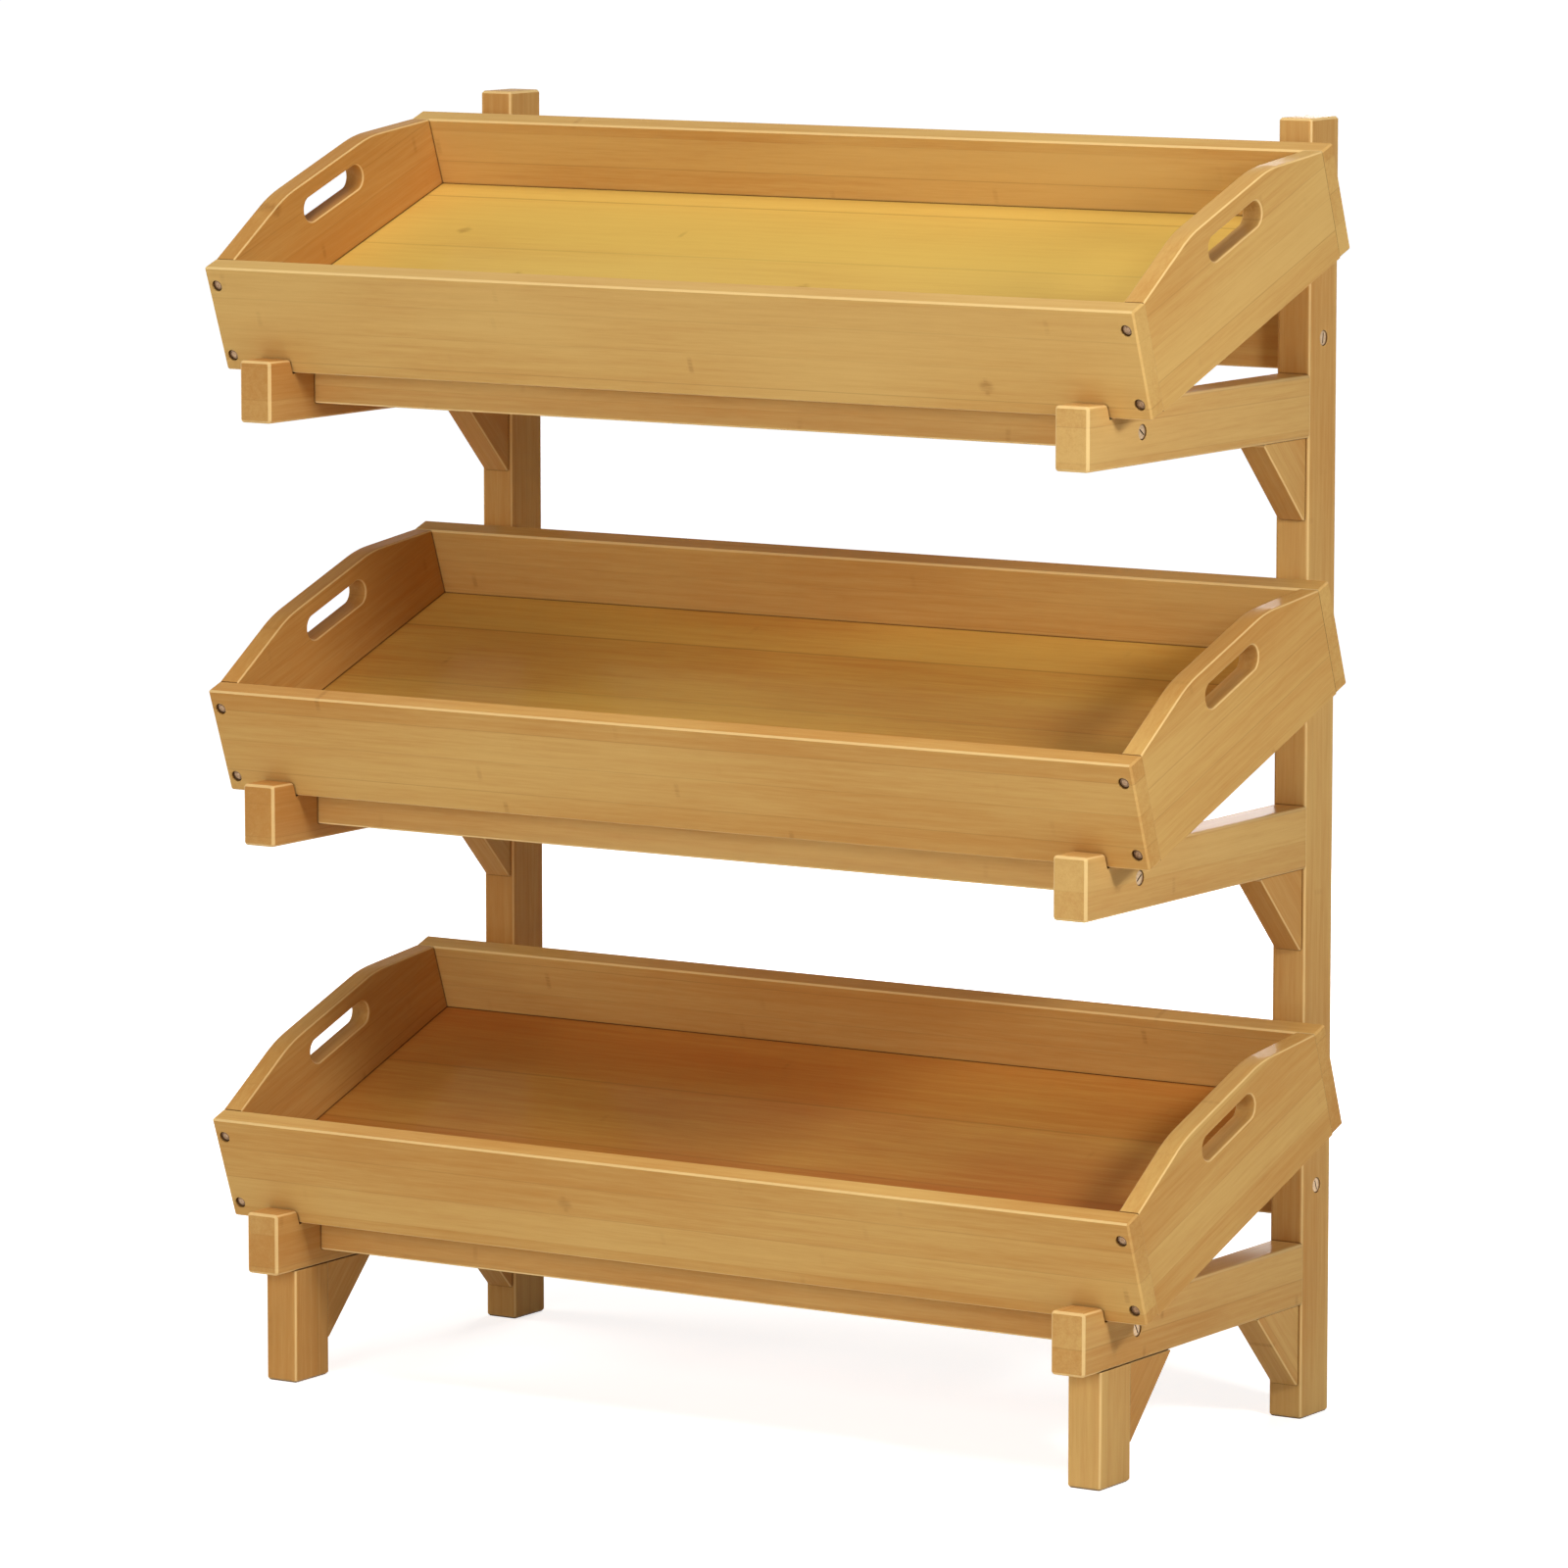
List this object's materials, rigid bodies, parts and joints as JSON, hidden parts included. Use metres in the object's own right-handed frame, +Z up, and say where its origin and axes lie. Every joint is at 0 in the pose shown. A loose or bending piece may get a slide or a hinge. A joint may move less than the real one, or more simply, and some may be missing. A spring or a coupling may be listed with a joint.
{
  "type": "tiered fruit stand",
  "caption": "Free-standing wooden display stand: tilted lift-out trays with hand slots rest in notched arms on rear posts, braced by gussets, rails and short front legs.",
  "frame": {"origin": "on the floor below the middle of the stand's bounding box", "axes": "+Z up, -Y towards the shopper, where the trays tilt down, +Y towards the rear posts, +X to the right seen from the front"},
  "size_m": [0.863, 0.387, 1.038],
  "materials": {
    "frame_wood": "satin lacquer",
    "tray_wood": "satin lacquer",
    "panel_wood": "satin lacquer",
    "tray_screw_steel": "dull zinc",
    "rail_screw_steel": "zinc"
  },
  "bodies": {
    "frame": {"front_rail_screws": "rail_screw_steel", "left_front_leg": "frame_wood", "left_leg_gusset": "frame_wood", "left_post": "frame_wood", "lower_front_rail": "frame_wood", "lower_left_arm": "frame_wood", "lower_left_gusset": "frame_wood", "lower_rear_rail": "frame_wood", "lower_right_arm": "frame_wood", "lower_right_gusset": "frame_wood", "lower_tray_ledge": "frame_wood", "middle_front_rail": "frame_wood", "middle_left_arm": "frame_wood", "middle_left_gusset": "frame_wood", "middle_right_arm": "frame_wood", "middle_right_gusset": "frame_wood", "middle_tray_ledge": "frame_wood", "rear_rail_screws": "rail_screw_steel", "right_front_leg": "frame_wood", "right_leg_gusset": "frame_wood", "right_post": "frame_wood", "upper_front_rail": "frame_wood", "upper_left_arm": "frame_wood", "upper_left_gusset": "frame_wood", "upper_rear_rail": "frame_wood", "upper_right_arm": "frame_wood", "upper_right_gusset": "frame_wood", "upper_tray_ledge": "frame_wood"},
    "upper_tray": {"upper_tray_back_board": "tray_wood", "upper_tray_bottom_panel": "panel_wood", "upper_tray_front_board": "tray_wood", "upper_tray_left_end_board": "tray_wood", "upper_tray_right_end_board": "tray_wood", "upper_tray_screws": "tray_screw_steel"},
    "middle_tray": {"middle_tray_back_board": "tray_wood", "middle_tray_bottom_panel": "panel_wood", "middle_tray_front_board": "tray_wood", "middle_tray_left_end_board": "tray_wood", "middle_tray_right_end_board": "tray_wood", "middle_tray_screws": "tray_screw_steel"},
    "lower_tray": {"lower_tray_back_board": "tray_wood", "lower_tray_bottom_panel": "panel_wood", "lower_tray_front_board": "tray_wood", "lower_tray_left_end_board": "tray_wood", "lower_tray_right_end_board": "tray_wood", "lower_tray_screws": "tray_screw_steel"}
  },
  "joints": [
    {"name": "upper_tray_lift", "type": "slide", "parent": "frame", "child": "upper_tray", "axis": [0, -0.342, 0.9397], "range_m": [0, 0.25]},
    {"name": "middle_tray_lift", "type": "slide", "parent": "frame", "child": "middle_tray", "axis": [0, -0.342, 0.9397], "range_m": [0, 0.1]},
    {"name": "lower_tray_lift", "type": "slide", "parent": "frame", "child": "lower_tray", "axis": [0, -0.342, 0.9397], "range_m": [0, 0.1]}
  ]
}
